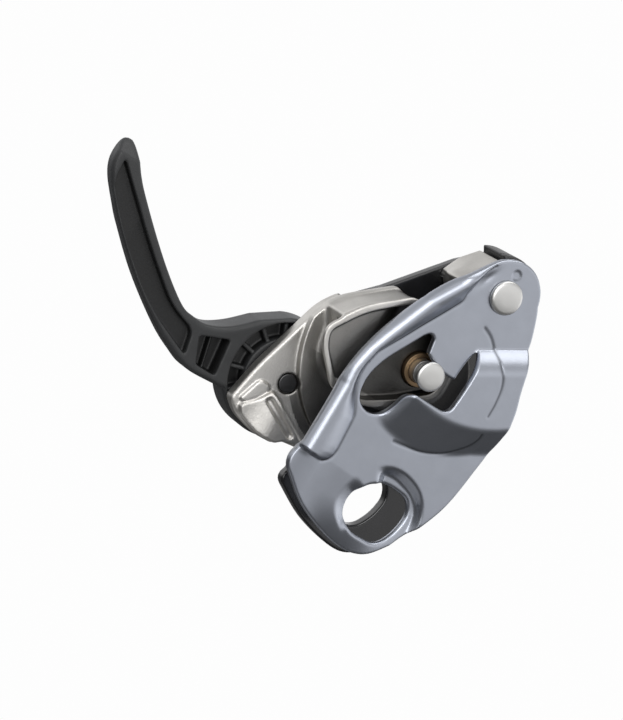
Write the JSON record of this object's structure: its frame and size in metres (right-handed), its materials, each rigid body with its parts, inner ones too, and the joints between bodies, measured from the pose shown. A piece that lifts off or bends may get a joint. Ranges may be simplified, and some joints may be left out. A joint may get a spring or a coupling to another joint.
{
  "type": "belay device",
  "caption": "Assisted-braking belay device: a sprung cam between a fixed and a swinging side plate pinches the climbing rope, and a folding lever releases it.",
  "frame": {"origin": "centre of the attachment hole, midway through the rope channel between the two side plates", "axes": "+Z from the attachment hole to the swing pivot; -Y out of the front (swinging) side plate; the lever arm lies towards -X"},
  "size_m": [0.116, 0.0307, 0.0843],
  "materials": {
    "anodised_plate": "satin blue-grey anodised",
    "black_plate": "gloss black coating",
    "cast_steel": "cast stainless steel, fine grain",
    "pin_steel": "turned, satin",
    "spring_steel": "drawn wire",
    "bronze": "sintered bearing bronze",
    "nylon": "black moulded nylon, fine grain",
    "cap_nylon": "black moulded nylon, satin"
  },
  "bodies": {
    "frame": {"fixed_plate": "black_plate", "friction_shoe": "cast_steel", "end_spacer": "cap_nylon", "shoe_rivet_upper": "pin_steel", "shoe_rivet_lower": "pin_steel", "spacer_rivet": "pin_steel", "pivot_pin": "pin_steel", "pivot_bush": "bronze", "pivot_washer": "spring_steel", "cam_axle": "pin_steel", "cam_spring": "spring_steel"},
    "swing_plate": {"moving_plate": "anodised_plate"},
    "rope_cam": {"cam": "cast_steel", "cam_bush": "bronze", "lever_pin": "pin_steel"},
    "release_lever": {"lever": "nylon", "lever_bush": "bronze", "lever_spring": "spring_steel", "lever_washer": "pin_steel"}
  },
  "joints": [
    {"name": "plate_swing", "type": "hinge", "parent": "frame", "child": "swing_plate", "pos_m": [0, 0, 0.0608], "axis": [0, 1, 0], "range_deg": [0, 130]},
    {"name": "cam_pivot", "type": "hinge", "parent": "frame", "child": "rope_cam", "pos_m": [-0.00715, 0, 0.0354], "axis": [0, 1, 0], "range_deg": [0, 20], "stiffness_Nm_per_rad": 0.15, "springref_deg": -28.65, "deforming": ["cam_spring"]},
    {"name": "lever_fold", "type": "hinge", "parent": "rope_cam", "child": "release_lever", "pos_m": [-0.0316, 0, 0.0167], "axis": [0, 1, 0], "range_deg": [-70, 100], "deforming": ["lever_spring"]}
  ]
}
